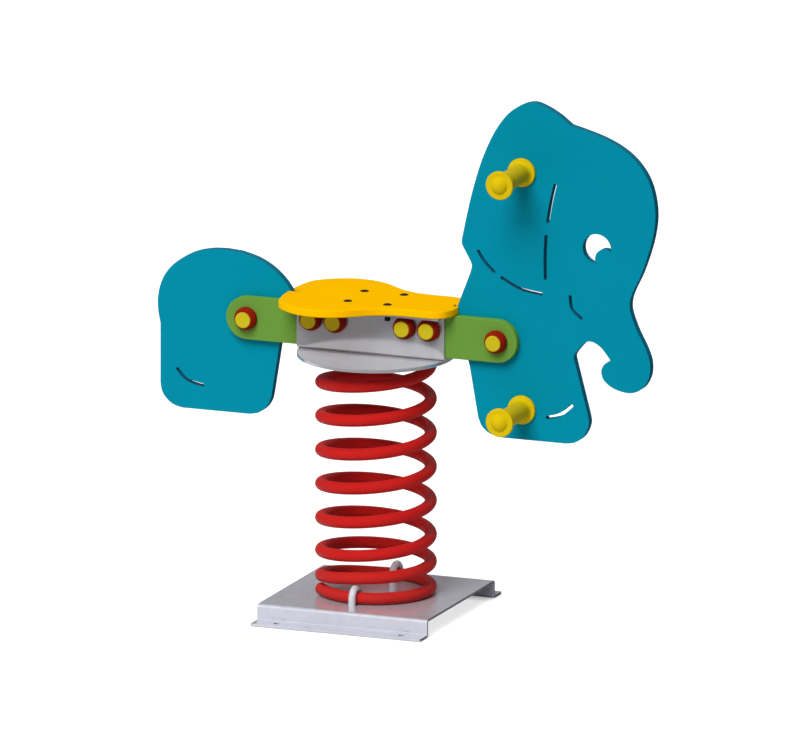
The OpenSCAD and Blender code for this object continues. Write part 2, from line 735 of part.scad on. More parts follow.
module hand_grip_right() { grip(hand_grip_z, right); }
module hand_grip_left() { grip(hand_grip_z, left); }
module foot_rest_right() { grip(foot_rest_z, right); }
module foot_rest_left() { grip(foot_rest_z, left); }

module grip_rod(z) {
    color(bolt_steel) translate([grip_x, 0, z]) rotate([90, 0, 0])
        cylinder(h = panel_t + 2 * rod_end, d = bolt_d, center = true);
}

module hand_grip_rod() { grip_rod(hand_grip_z); }
module foot_rest_rod() { grip_rod(foot_rest_z); }

module grip_washers(z) {
    color(bolt_steel) for (side = [right, left])
        outwards(side, grip_x, z, panel_t / 2 + grip_length - grip_pocket_depth)
            washer(2 * grip_pocket_r - 1, washer_t, bolt_d);
}

module hand_grip_washers() { grip_washers(hand_grip_z); }
module foot_rest_washers() { grip_washers(foot_rest_z); }

module grip_nuts(z) {
    color(bolt_steel) for (side = [right, left])
        outwards(side, grip_x, z, panel_t / 2 + grip_length - grip_pocket_depth + washer_t)
            hexagon_nut(bolt_flats, bolt_nut_h, bolt_d);
}

module hand_grip_nuts() { grip_nuts(hand_grip_z); }
module foot_rest_nuts() { grip_nuts(foot_rest_z); }

// Domed cap that plugs the pocket of a grip
module dome_cap() {
    plug = grip_pocket_r - thread_gap;
    skirt_depth = grip_pocket_depth - washer_t - bolt_nut_h;
    rotate_extrude() polygon([[0, 0], [plug - dome_wall, 0], [plug - dome_wall, -skirt_depth],
        [plug, -skirt_depth], [plug, 0], [dome_d / 2, 0],
        for (a = [15:15:75]) [dome_d / 2 * cos(a), dome_h * sin(a)], [0, dome_h]]);
}

module grip_caps(z) {
    color(grip_yellow) for (side = [right, left])
        outwards(side, grip_x, z, panel_t / 2 + grip_length) dome_cap();
}

module hand_grip_caps() { grip_caps(hand_grip_z); }
module foot_rest_caps() { grip_caps(foot_rest_z); }

base_plate();
base_spring_clamps();
base_clamp_washers();
base_clamp_nuts();
coil_spring();
head_plate();
top_spring_clamps();
top_clamp_washers();
top_clamp_nuts();
seat_bracket();
rear_beam_right();
rear_beam_left();
front_beam_right();
front_beam_left();
rear_spacer();
front_spacer();
rear_panel();
head_panel();
seat();
seat_bolts();
seat_nuts();
bracket_bolts();
bracket_bolt_nuts();
bracket_bolt_washers();
panel_bolts();
panel_bolt_nuts();
panel_bolt_washers();
bracket_cover_bases_right();
bracket_cover_bases_left();
bracket_cover_caps_right();
bracket_cover_caps_left();
panel_cover_bases_right();
panel_cover_bases_left();
panel_cover_caps_right();
panel_cover_caps_left();
hand_grip_right();
hand_grip_left();
foot_rest_right();
foot_rest_left();
hand_grip_rod();
foot_rest_rod();
hand_grip_washers();
foot_rest_washers();
hand_grip_nuts();
foot_rest_nuts();
hand_grip_caps();
foot_rest_caps();
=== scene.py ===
import math

import bmesh
import bpy
from mathutils import Matrix, Vector
from mathutils.geometry import delaunay_2d_cdt


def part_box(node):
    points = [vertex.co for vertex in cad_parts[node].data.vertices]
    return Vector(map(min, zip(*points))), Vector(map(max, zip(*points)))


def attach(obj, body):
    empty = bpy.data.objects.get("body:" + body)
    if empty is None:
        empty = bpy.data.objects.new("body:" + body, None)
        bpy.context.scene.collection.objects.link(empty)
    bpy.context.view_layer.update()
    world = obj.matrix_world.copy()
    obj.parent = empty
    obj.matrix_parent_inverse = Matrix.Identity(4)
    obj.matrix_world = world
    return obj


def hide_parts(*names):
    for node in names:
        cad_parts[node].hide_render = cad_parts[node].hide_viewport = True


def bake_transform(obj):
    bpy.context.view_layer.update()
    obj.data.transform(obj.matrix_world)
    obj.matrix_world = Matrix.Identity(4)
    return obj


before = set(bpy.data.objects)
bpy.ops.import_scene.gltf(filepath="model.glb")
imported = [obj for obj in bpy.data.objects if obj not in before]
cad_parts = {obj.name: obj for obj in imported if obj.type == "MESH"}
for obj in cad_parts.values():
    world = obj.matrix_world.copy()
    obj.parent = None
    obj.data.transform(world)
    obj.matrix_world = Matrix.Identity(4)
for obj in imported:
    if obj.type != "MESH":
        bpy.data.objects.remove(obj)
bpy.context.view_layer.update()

# Camera: the photograph is taken from the rider's right and a little from the front, from
# far away, so it is a parallel view. The angles and the place were fitted to the spring.
AROUND = math.radians(21.73)
ABOVE = math.radians(13.66)
VIEW_WIDTH = 1.3109
VIEW_RIGHT, VIEW_UP, CAMERA_AWAY = 0.03934, 0.39279, 5.0
to_right = Vector((math.cos(AROUND), math.sin(AROUND), 0))
to_camera = Vector((math.sin(AROUND) * math.cos(ABOVE), -math.cos(AROUND) * math.cos(ABOVE),
                    math.sin(ABOVE)))
to_top = to_camera.cross(to_right)

camera = bpy.data.objects.new("camera", bpy.data.cameras.new("camera"))
bpy.context.scene.collection.objects.link(camera)
camera.data.type = "ORTHO"
camera.data.ortho_scale = VIEW_WIDTH
camera.matrix_world = (
    Matrix.Translation(VIEW_RIGHT * to_right + VIEW_UP * to_top + CAMERA_AWAY * to_camera)
    @ Matrix((to_right, to_top, to_camera)).transposed().to_4x4())
bpy.context.scene.camera = camera
bpy.context.scene.view_settings.view_transform = "Standard"


# Stage: a white studio floor that keeps a soft shadow, and a white background. The floor's white
# glow is dimmed by ambient occlusion: a painted shade under and around the object. One large soft
# lamp stands in front and a weak one behind. Shiny steel sees the lit floor in front and a dim
# room behind.
class Value:
    """A number that varies over a surface: arithmetic on it adds Math nodes."""

    def __init__(self, finish, socket):
        self.finish = finish
        self.socket = socket

    def math(self, operation, *others):
        return self.finish.math(operation, self, *others)

    def clamped(self):
        return self.math("MAXIMUM", 0.0).math("MINIMUM", 1.0)

    def __add__(self, other):
        return self.math("ADD", other)

    def __radd__(self, other):
        return self.math("ADD", other)

    def __sub__(self, other):
        return self.math("SUBTRACT", other)

    def __rsub__(self, other):
        return self.finish.math("SUBTRACT", other, self)

    def __mul__(self, other):
        return self.math("MULTIPLY", other)

    def __rmul__(self, other):
        return self.math("MULTIPLY", other)

    def __truediv__(self, other):
        return self.math("DIVIDE", other)

    def __rtruediv__(self, other):
        return self.finish.math("DIVIDE", other, self)

    def __gt__(self, other):
        return self.math("GREATER_THAN", other)

    def __lt__(self, other):
        return self.math("LESS_THAN", other)


class Finish:
    """The nodes of one material, or of the world."""

    def __init__(self, owner):
        owner.use_nodes = True
        self.owner = owner
        self.tree = owner.node_tree
        self.tree.nodes.clear()

    def node(self, kind, settings=None, sockets=None, output=0):
        """Adds a node, sets it up, fills its sockets by name or number, and gives an output."""
        added = self.tree.nodes.new(kind)
        for name, setting in (settings or {}).items():
            if name == "stops":
                ramp = added.color_ramp
                while len(ramp.elements) < len(setting):
                    ramp.elements.new(1.0)
                for element, (place, colour) in zip(ramp.elements, setting):
                    element.position = place
                    element.color = (*colour, 1.0)
            else:
                setattr(added, name, setting)
        for name, value in (sockets or {}).items():
            if isinstance(value, Value):
                self.tree.links.new(value.socket, added.inputs[name])
            else:
                added.inputs[name].default_value = value
        return Value(self, added.outputs[output]) if added.outputs else None

    def math(self, operation, *numbers):
        """A Math node on values and plain numbers."""
        return self.node("ShaderNodeMath", {"operation": operation}, dict(enumerate(numbers)))

    def mix(self, share, first, second):
        """Blends two colours by a share from 0 to 1."""
        return self.node("ShaderNodeMix", {"data_type": "RGBA"},
                         {0: share, 6: first, 7: second}, 2)

    def noise(self, where, scale, detail):
        return self.node("ShaderNodeTexNoise", None,
                         {"Vector": where, "Scale": scale, "Detail": detail}, "Fac")


def colour(red, green, blue):
    """The scene colour of a red, green and blue as a paint chart gives them, 0 to 255."""
    parts = [c / 255 for c in (red, green, blue)]
    return tuple(c / 12.92 if c <= 0.04045 else ((c + 0.055) / 1.055) ** 2.4
                 for c in parts) + (1.0,)


def seen_directly(finish):
    """1 for what the camera sees directly, or through glass, and 0 for all else."""
    path = "ShaderNodeLightPath"
    return (finish.node(path, output="Is Camera Ray")
            + finish.node(path, output="Is Transmission Ray")) > 0.5


def greys(*stops):
    """A colour ramp's stops from pairs of place and grey level."""
    return {"stops": [(place, (level, level, level)) for place, level in stops]}


world = bpy.data.worlds.new("studio")
bpy.context.scene.world = world
room = Finish(world)
toward = room.node("ShaderNodeTexCoord", output="Generated")
rightward, backward, upward = (room.node("ShaderNodeSeparateXYZ", None, {0: toward}, axis)
                               for axis in "XYZ")
ambient = 0.28 - rightward.math("MAXIMUM", 0.0) * 0.14
room_behind = room.node("ShaderNodeValToRGB", greys(
    (0.0, 0.12), (0.3, 0.23), (0.75, 0.5), (1.0, 0.6)), {0: upward})
in_front = ((backward + 0.1) * -3.0).clamped()
room_in_front = room.node("ShaderNodeValToRGB", greys(
    (0.0, 0.8), (0.3, 0.95), (0.6, 1.0), (1.0, 0.7)), {0: upward})
reflected_room = room.mix(in_front, room_behind, room_in_front)
lighting = room.mix(room.node("ShaderNodeLightPath", output="Is Glossy Ray"), ambient,
                    reflected_room)
shown = room.mix(seen_directly(room), lighting, (1, 1, 1, 1))
room.node("ShaderNodeOutputWorld", None,
          {0: room.node("ShaderNodeBackground", None, {"Color": shown})})

MM = 0.001
FLOOR_HALF, FLOOR_Z = 14.0, -0.5 * MM
floor_mesh = bpy.data.meshes.new("floor")
floor_mesh.from_pydata([(x * FLOOR_HALF, y * FLOOR_HALF, FLOOR_Z)
                        for x, y in ((-1, -1), (1, -1), (1, 1), (-1, 1))], [], [(0, 1, 2, 3)])
floor = bpy.data.objects.new("floor", floor_mesh)
bpy.context.scene.collection.objects.link(floor)
ground = Finish(bpy.data.materials.new("studio floor"))
spot = ground.node("ShaderNodeTexCoord", output="Object")
sideways, deep = (ground.node("ShaderNodeSeparateXYZ", None, {0: spot}, axis) for axis in "XY")
away = ((deep - 0.2) * 1.6).math("MAXIMUM", (sideways - 0.5) * 1.4).clamped()
far_mirrored = (((deep + 0.4) * -1.2).clamped()
                * ground.node("ShaderNodeLightPath", output="Is Glossy Ray"))
pale, dim = (0.76, 0.76, 0.78, 1), (0.22, 0.22, 0.22, 1)
lit_floor = ground.node("ShaderNodeBsdfDiffuse", None, {
    "Color": ground.mix(away.math("MAXIMUM", far_mirrored), pale, dim)})
shadow_part = ground.node("ShaderNodeBsdfDiffuse", None, {"Color": (0.28, 0.28, 0.28, 1)})
# Painted shade: the floor's glow is scaled by ambient occlusion, so it darkens under and beside
# the object and in its holes.
open_sky = ground.node("ShaderNodeAmbientOcclusion", None, {"Distance": 31 * MM}, "AO")
glow_with_painted_shade = ground.node("ShaderNodeEmission", None, {"Color": open_sky})
white_floor = ground.node("ShaderNodeAddShader", None, {0: shadow_part, 1: glow_with_painted_shade})
ground.node("ShaderNodeOutputMaterial", None, {0: ground.node(
    "ShaderNodeMixShader", None, {0: seen_directly(ground), 1: lit_floor, 2: white_floor})})
floor_mesh.materials.append(ground.owner)


def lamp(name, direction, strength, softness):
    """A sun lamp that shines from a direction; softness is its width in degrees. Shiny
    surfaces see the lit room instead of it."""
    made = bpy.data.objects.new(name, bpy.data.lights.new(name, "SUN"))
    bpy.context.scene.collection.objects.link(made)
    made.data.energy = strength
    made.data.angle = math.radians(softness)
    made.matrix_world = Vector(direction).to_track_quat("Z", "Y").to_matrix().to_4x4()
    made.visible_glossy = False


lamp("main lamp", (-0.05, -0.74, 0.79), 2.95, 34)
lamp("fill behind", (-0.2, 0.9, 0.3), 0.9, 60)


# Ground plate: 4 mm steel sheet folded to a flat top, two side walls and two feet with anchor
# holes, then galvanised. Its cut ends along X are painted dark, a painted shade. It is bolted to
# a footing. The zinc is bright, with faint cloudy patches, and mirrors the spring softly.
def surface(finish, base, roughness, metallic, bump, bump_size, gloss=0.08):
    """Ends a material: a surface of a colour and roughness, with a fine relief."""
    relief = finish.node("ShaderNodeBump", None, {"Height": bump, "Distance": bump_size})
    finish.node("ShaderNodeOutputMaterial", None, {
        0: finish.node("ShaderNodeBsdfPrincipled", None, {
            "Base Color": base, "Roughness": roughness, "Metallic": metallic,
            "Specular IOR Level": gloss, "Normal": relief})})
    return finish.owner


def zinc_sheet(name, light, dark, polish, metallic, painted_end_shade=None):
    """Zinc with cloudy patches and fine flakes; polish is its least roughness. A last colour, if
    given, is painted on the faces that face along X, a painted shade on the sheet's cut ends."""
    zinc = Finish(bpy.data.materials.new(name))
    place = zinc.node("ShaderNodeTexCoord", output="Object")
    cloud = zinc.noise(place, 9.0, 3.0)
    grain = zinc.noise(place, 420.0, 3.0)
    patches = zinc.node("ShaderNodeTexVoronoi", None, {"Vector": place, "Scale": 95.0}, "Color")
    flake = zinc.node("ShaderNodeSeparateColor", None, {0: patches}, 0)
    base = zinc.mix(cloud * 0.7 + flake * 0.3, dark, light)
    # Painted shade: faces turned along X take the dark colour.
    if painted_end_shade:
        facing = zinc.node("ShaderNodeTexCoord", output="Normal")
        along_x = zinc.node("ShaderNodeSeparateXYZ", None, {0: facing}, "X")
        base = zinc.mix(along_x.math("ABSOLUTE") > 0.6, base, painted_end_shade)
    rough = polish + cloud * 0.06 + flake * 0.02 + grain * 0.03
    return surface(zinc, base, rough, metallic, grain, bump_size=0.02 * MM)


def mesh_of(name, points, faces):
    """A mesh whose faces are shaded as one smooth surface."""
    made = bpy.data.meshes.new(name)
    made.from_pydata([tuple(p) for p in points], [], faces)
    made.shade_smooth()
    return made


SHARP, KEEN = math.radians(35), math.radians(50)


def piece(name, meshes, material, body, nodes, bends=None):
    """One piece from several meshes: joined, given its material and fixed to its body, or, when
    bends are given, kept where it is and fixed to no body. It hides the CAD nodes it stands for."""
    joined = bmesh.new()
    for mesh in meshes:
        joined.from_mesh(mesh)
        bpy.data.meshes.remove(mesh)
    bmesh.ops.recalc_face_normals(joined, faces=joined.faces)
    final = bpy.data.meshes.new(name)
    joined.to_mesh(final)
    joined.free()
    final.set_sharp_from_angle(angle=SHARP)
    final.materials.append(material)
    made = bpy.data.objects.new(name, final)
    bpy.context.scene.collection.objects.link(made)
    made.modifiers.new("flat faces stay flat", "WEIGHTED_NORMAL").keep_sharp = True
    if bends is None:
        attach(made, body)
    else:
        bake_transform(made)
    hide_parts(*nodes)


def welded(node):
    """A CAD node's shape, to work on, with its triangles joined at their corners."""
    shape = bmesh.new()
    shape.from_mesh(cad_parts[node].data)
    bmesh.ops.remove_doubles(shape, verts=shape.verts, dist=0.002 * MM)
    return shape


def softened(node, radius):
    """A copy of a CAD node whose keen edges are rounded, as cut and galvanised steel is."""
    shape = welded(node)
    bmesh.ops.dissolve_limit(shape, angle_limit=math.radians(0.05), verts=shape.verts,
                             edges=shape.edges, use_dissolve_boundaries=False)
    edges = [e for e in shape.edges if len(e.link_faces) == 2 and e.calc_face_angle() > KEEN]
    bmesh.ops.bevel(shape, geom=edges, offset=radius, segments=2, profile=0.5,
                    affect="EDGES", clamp_overlap=True)
    for face in shape.faces:
        face.smooth = True
    mesh = bpy.data.meshes.new(node)
    shape.to_mesh(mesh)
    shape.free()
    return mesh


# Its last colour is a painted shade on the cut ends.
galvanised = zinc_sheet("galvanised sheet", colour(231, 232, 242), colour(206, 207, 218),
                        0.12, 0.6, painted_end_shade=colour(72, 74, 82))
piece("ground_plate", [softened("base_plate", 0.5 * MM)], galvanised, "base",
      ["base_plate"])


# Spring clamps: 12 mm round rod bent into a U over the wire, its threaded legs through the
# plate, with a washer and a nut on each. Two hold the lowest coil and two the highest.
PITCH = 1.75 * MM


def rod_zinc(name, low=0.0, high=1.0):
    """Bright plated rod, with a screw thread below one height and above another."""
    rod = Finish(bpy.data.materials.new(name))
    place = rod.node("ShaderNodeTexCoord", output="Object")
    z = rod.node("ShaderNodeSeparateXYZ", None, {0: place}, "Z")
    cloud = rod.noise(place, 60.0, 3.0)
    threaded = (z < low) + (z > high)
    thread = (z * (2 * math.pi / PITCH)).math("SINE") * threaded
    base = rod.mix(cloud, colour(212, 212, 218), colour(228, 228, 233))
    return surface(rod, base, 0.4 + cloud * 0.12, 0.3, thread, bump_size=0.3 * MM)


def plated(name, light, dark, rough):
    """Plated steel of small fasteners, slightly uneven where the plating is thin."""
    plating = Finish(bpy.data.materials.new(name))
    place = plating.node("ShaderNodeTexCoord", output="Object")
    cloud = plating.noise(place, 140.0, 4.0)
    fine = plating.noise(place, 1500.0, 2.0)
    return surface(plating, plating.mix(cloud, dark, light), rough + cloud * 0.15,
                   0.9, fine, bump_size=0.02 * MM, gloss=0.5)


SHEET_UNDER, SHEET_TOP = 26 * MM, 30 * MM
HEAD_UNDER, HEAD_TOP = 430 * MM, 436 * MM
WIRE_R, COIL_R, ROD_R = 10 * MM, 90 * MM, 6 * MM
FIT = 0.3 * MM
CLAMP_R = WIRE_R + FIT + ROD_R
LOW_COIL = SHEET_TOP + FIT + WIRE_R
HIGH_COIL = HEAD_UNDER - FIT - WIRE_R
WASHER_H, NUT_H, LEG_PAST = 2.5 * MM, 8 * MM, 3 * MM
NUT_FLATS, NUT_BORE = 18 * MM, 5.9 * MM


def tube(name, centres, ahead, sideways, radius):
    """A round bar along centre points, with slightly rounded ends. ahead and sideways give
    the bar's direction and a direction across it at each point."""
    sides, end_round = 24, 0.8 * MM
    stations = [(c, a, s, radius) for c, a, s in zip(centres, ahead, sideways)]
    for end, turn in ((0, -1), (-1, 1)):
        c, a, s, r = stations[end]
        worn = [(c + a * turn * end_round * math.sin(t) - a * turn * end_round, a, s,
                 r - end_round + end_round * math.cos(t)) for t in (0.0, 0.5, 1.0, 1.5)]
        stations = worn[::-1] + stations[1:] if end == 0 else stations[:-1] + worn
    points = []
    for c, a, s, r in stations:
        up = a.cross(s)
        for k in range(sides):
            t = 2 * math.pi * k / sides
            points.append(c + r * (math.cos(t) * s + math.sin(t) * up))
    faces = [(i * sides + k, i * sides + (k + 1) % sides, (i + 1) * sides + (k + 1) % sides,
              (i + 1) * sides + k) for i in range(len(stations) - 1) for k in range(sides)]
    last = (len(stations) - 1) * sides
    faces.append(tuple(range(sides))[::-1])
    faces.append(tuple(range(last, last + sides)))
    return mesh_of(name, points, faces)


def clamp(angle, coil_z, leg_end, up):
    """One U clamp round the wire at an angle of the spring; up is 1 over the wire and -1
    under it."""
    out = Vector((math.cos(angle), math.sin(angle), 0))
    across = Vector((-math.sin(angle), math.cos(angle), 0))
    rise = Vector((0, 0, up))
    middle = COIL_R * out + Vector((0, 0, coil_z))
    centres, ahead = [], []
    leg_steps, arc_steps = 8, 24
    for i in range(leg_steps):
        low = abs(coil_z - leg_end) * (1 - i / leg_steps)
        centres.append(middle + CLAMP_R * out - rise * low)
        ahead.append(rise)
    for i in range(arc_steps + 1):
        t = math.pi * i / arc_steps
        centres.append(middle + CLAMP_R * (math.cos(t) * out + math.sin(t) * rise))
        ahead.append(-math.sin(t) * out + math.cos(t) * rise)
    for i in range(1, leg_steps + 1):
        low = abs(coil_z - leg_end) * i / leg_steps
        centres.append(middle - CLAMP_R * out - rise * low)
        ahead.append(-rise)
    return tube("clamp", centres, ahead, [across] * len(centres), ROD_R)


def off_flat(t):
    """The angle between a direction and the middle of the nearest side of a hexagon."""
    return (t + math.pi / 6) % (math.pi / 3) - math.pi / 6


def hexagon_nut(centre, up):
    """A hexagon nut with its corners turned off at both ends and a countersunk bore."""
    turned_r = 0.485 * NUT_FLATS
    sink = 0.6 * MM
    points, around = [], 72
    for k in range(around):
        t = 2 * math.pi * k / around
        corner = NUT_FLATS / 2 / math.cos(off_flat(t))
        cut = max(0.0, corner - turned_r) * math.tan(math.radians(30))
        ring = [(NUT_BORE, sink), (NUT_BORE + sink, 0), (turned_r, 0), (corner, cut),
                (corner, NUT_H - cut), (turned_r, NUT_H), (NUT_BORE + sink, NUT_H),
                (NUT_BORE, NUT_H - sink)]
        points += [centre + Vector((r * math.cos(t), r * math.sin(t), up * z))
                   for r, z in ring]
    n = len(ring)
    faces = [(k * n + j, k * n + (j + 1) % n, (k + 1) % around * n + (j + 1) % n,
              (k + 1) % around * n + j) for k in range(around) for j in range(n)]
    return mesh_of("nut", points, faces)


def clamp_nuts(angles, z, up):
    return [hexagon_nut(Vector((r * math.cos(a), r * math.sin(a), z)), up)
            for a in angles for r in (COIL_R - CLAMP_R, COIL_R + CLAMP_R)]


fixing_steel = plated("plated steel", colour(190, 191, 195), colour(160, 161, 166), 0.25)
base_clamps = [math.radians(90), math.radians(270)]
base_leg_end = SHEET_UNDER - WASHER_H - NUT_H - LEG_PAST
piece("base_clamps", [clamp(a, LOW_COIL, base_leg_end, 1) for a in base_clamps],
      rod_zinc("base clamp rod", low=25 * MM), "base", ["base_spring_clamps"])
piece("base_clamp_hexagon_nuts", clamp_nuts(base_clamps, SHEET_UNDER - WASHER_H, -1),
      fixing_steel, "base", ["base_clamp_nuts"])
piece("base_washers", [softened("base_clamp_washers", 0.4 * MM)], fixing_steel, "base",
      ["base_clamp_washers"])

top_clamps = [math.radians(90), math.radians(150)]
top_leg_end = HEAD_TOP + WASHER_H + NUT_H + LEG_PAST
piece("head_clamps", [clamp(a, HIGH_COIL, top_leg_end, -1) for a in top_clamps],
      rod_zinc("head clamp rod", high=HEAD_TOP), "rider", ["top_spring_clamps"])
piece("head_clamp_hexagon_nuts", clamp_nuts(top_clamps, HEAD_TOP + WASHER_H, 1),
      fixing_steel, "rider", ["top_clamp_nuts"])
piece("head_washers", [softened("top_clamp_washers", 0.4 * MM)], fixing_steel, "rider",
      ["top_clamp_washers"])


# Coil spring: 20 mm spring steel wire wound nearly eight times round, powder-coated red. Its
# lowest and highest turns lie flat in the clamps. It bends at each joint, so it is two pieces,
# which meet at mid height; each is given the span of one joint, but stays as built and fixed to
# no body. Places along it are in degrees.
WIRE_START, LEAVES_BASE, FRONT_CLAMP, FREE_COILS = -135, 112, 270, 720
MIDDLE, REACHES_TOP, WIRE_END = 1512, 2579, 2700
LOW_LIFT = 21 * MM
CLAMP_GAP = 1.2 * MM
OVER_CLAMP = LOW_COIL + CLAMP_R + ROD_R + WIRE_R + CLAMP_GAP
PER_DEGREE = (HIGH_COIL - OVER_CLAMP + LOW_LIFT) / (REACHES_TOP - FRONT_CLAMP)


def wire_height(angle):
    """Height of the wire's centre at an angle in degrees, before its bends are eased."""
    even = HIGH_COIL - (REACHES_TOP - angle) * PER_DEGREE
    if angle <= LEAVES_BASE:
        return LOW_COIL
    if angle <= FRONT_CLAMP:
        share = (angle - LEAVES_BASE) / (FRONT_CLAMP - LEAVES_BASE)
        return LOW_COIL + (OVER_CLAMP - LOW_COIL) * share
    if angle <= FREE_COILS:
        return even + LOW_LIFT * ((FREE_COILS - angle) / (FREE_COILS - FRONT_CLAMP)) ** 2
    return min(HIGH_COIL, even)


def wire_centre(angle):
    """The wire's centre at an angle, with the bends of its height eased."""
    eased = sum(wire_height(angle + step) for step in (-16, -8, 0, 8, 16)) / 5
    t = math.radians(angle)
    return Vector((COIL_R * math.cos(t), COIL_R * math.sin(t), eased))


def wire_piece(name, first, last, bends, straight_start=False, straight_end=False):
    """The wire between two angles, with a short straight bit at an end of the spring."""
    steps = round((last - first) / 6)
    angles = [first + (last - first) * i / steps for i in range(steps + 1)]
    centres = [wire_centre(a) for a in angles]
    ahead = [(wire_centre(a + 1) - wire_centre(a - 1)).normalized() for a in angles]
    out = [Vector((math.cos(math.radians(a)), math.sin(math.radians(a)), 0)) for a in angles]
    if straight_start:
        centres.insert(0, centres[0] - 2 * WIRE_R * ahead[0])
        ahead.insert(0, ahead[0])
        out.insert(0, out[0])
    if straight_end:
        centres.append(centres[-1] + 2 * WIRE_R * ahead[-1])
        ahead.append(ahead[-1])
        out.append(out[-1])
    mesh = tube(name, centres, ahead, out, WIRE_R)
    piece(name, [mesh], red_coat, None, ["coil_spring"], bends=bends)


DUST_TOP = 120 * MM
paint = Finish(bpy.data.materials.new("red powder coat"))
place = paint.node("ShaderNodeTexCoord", output="Object")
peel = paint.noise(place, 620.0, 2.0)
cloud = paint.noise(place, 22.0, 3.0)
lowness = 1 - paint.node("ShaderNodeSeparateXYZ", None, {0: place}, "Z") / DUST_TOP
dust = lowness.math("MAXIMUM", 0.0) * paint.noise(place, 130.0, 5.0) * 0.22
red = paint.mix(cloud, colour(181, 24, 23), colour(195, 33, 30))
red_coat = surface(paint, paint.mix(dust, red, colour(150, 96, 84)),
                   0.42 + peel * 0.06 + dust * 0.4, 0.0, peel, bump_size=0.05 * MM)
lower_bend = ("base", "spring_body", (0, 0, 0.052), (0, 0, 0.218))
upper_bend = ("spring_body", "rider", (0, 0, 0.242), (0, 0, 0.408))
wire_piece("spring_lower_half", WIRE_START, MIDDLE, lower_bend, straight_start=True)
wire_piece("spring_upper_half", MIDDLE, WIRE_END, upper_bend, straight_end=True)


# Head plate and seat bracket: a round 6 mm steel plate on top of the spring, and a channel
# folded from 4 mm sheet welded onto it, both galvanised. The channel holds the beams, and its
# two top flanges carry the seat.
ACROSS, UPRIGHT = 1, 2


def loops_at(node, axis, level):
    """The closed outlines of a CAD node's flat face at a level of one axis, the outer one
    first and anticlockwise, the holes clockwise, as points in the face's plane."""
    u, v = (axis + 1) % 3, (axis + 2) % 3
    shape = welded(node)
    flat = {f for f in shape.faces if all(abs(p.co[axis] - level) < 0.01 * MM for p in f.verts)}
    following = {}
    for face in flat:
        for loop in face.loops:
            if sum(f in flat for f in loop.edge.link_faces) == 1:
                following[loop.vert] = loop.link_loop_next.vert
    outlines = []
    while following:
        vert, after = following.popitem()
        chain = [vert]
        while after is not vert:
            chain.append(after)
            after = following.pop(after)
        outlines.append([Vector((p.co[u], p.co[v])) for p in chain])
    shape.free()
    outlines = [plain_corners(o) for o in outlines]
    outlines.sort(key=lambda o: -abs(area(o)))
    return [o if (area(o) > 0) == (i == 0) else o[::-1] for i, o in enumerate(outlines)]


def area(outline):
    """The area inside an outline, below zero where it runs clockwise."""
    return sum(a.x * b.y - b.x * a.y for a, b in zip(outline, outline[1:] + outline[:1])) / 2


def plain_corners(outline):
    """The outline without points that lie on the straight line between their neighbours."""
    kept = []
    for i, p in enumerate(outline):
        before = (p - outline[i - 1]).normalized()
        after = (outline[(i + 1) % len(outline)] - p).normalized()
        if abs(before.cross(after)) > 1e-4:
            kept.append(p)
    return kept


def inset(outline, depth):
    """The outline moved into the material, which is on its left."""
    moved = []
    for i, p in enumerate(outline):
        before = (p - outline[i - 1]).normalized()
        after = (outline[(i + 1) % len(outline)] - p).normalized()
        n1, n2 = Vector((-before.y, before.x)), Vector((-after.y, after.x))
        moved.append(p + depth * (n1 + n2) / max(0.4, 1 + n1.dot(n2)))
    return moved


def filled(flat, order, sizes):
    """Triangles that fill a flat outline and leave its holes open. flat holds the points of
    all outlines in turn, the outer one first, order their numbers, and sizes how many each
    outline has."""
    starts = [sum(sizes[:i]) for i in range(len(sizes))]
    rings = [list(range(a, a + n)) for a, n in zip(starts, sizes)]
    edges = [(ring[k - 1], ring[k]) for ring in rings for k in range(len(ring))]
    made = delaunay_2d_cdt([Vector(p) for p in flat], edges, [], 0, 1e-7)
    where = [old[0] for old in made[3]]
    kept = []
    for triangle in made[2]:
        centre = sum((made[0][i] for i in triangle), Vector((0, 0))) / 3
        crossings = sum((flat[a][1] > centre.y) != (flat[b][1] > centre.y)
                        and centre.x < flat[a][0] + (centre.y - flat[a][1])
                        * (flat[b][0] - flat[a][0]) / (flat[b][1] - flat[a][1])
                        for a, b in edges)
        if crossings % 2:
            kept.append(tuple(order[where[i]] for i in triangle))
    return kept


def rounded_edge(radius, low, high, steps):
    """A board's edge from its upper to its lower face, as (depth into the board, level)."""
    turns = [math.pi / 2 * k / steps for k in range(steps + 1)]
    half = [(radius * (1 - math.sin(t)), high - radius * (1 - math.cos(t))) for t in turns]
    return half + [(depth, low + high - level) for depth, level in half[::-1]]


HOLE_ROUND = 0.3 * MM


def board(node, axis, radius, steps=4):
    """A flat board cut from sheet: a CAD node's outline and holes, with rounded edges."""
    low, high = (corner[axis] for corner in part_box(node))
    u, v = (axis + 1) % 3, (axis + 2) % 3
    outlines = loops_at(node, axis, high)

    def point(flat, level):
        made = [0.0, 0.0, 0.0]
        made[axis], made[u], made[v] = level, flat.x, flat.y
        return made

    points, faces, flat_faces = [], [], []
    rims = [[], []]
    for i, outline in enumerate(outlines):
        n = len(outline)
        start = len(points)
        profile = rounded_edge(HOLE_ROUND if i else radius, low, high, steps)
        for depth, level in profile:
            points += [point(p, level) for p in inset(outline, depth)]
        for j in range(len(profile) - 1):
            a, b = start + j * n, start + (j + 1) * n
            faces += [(a + k, b + k, b + (k + 1) % n, a + (k + 1) % n) for k in range(n)]
        rims[0].append([start + k for k in range(n)])
        rims[1].append([start + (len(profile) - 1) * n + k for k in range(n)])
    for turn, rim in zip((1, -1), rims):
        order = [i for r in rim for i in r]
        flat_faces += [t[::turn] for t in filled([(points[i][u], points[i][v]) for i in order],
                                                 order, [len(r) for r in rim])]
    return mesh_of(node, points, faces + flat_faces)


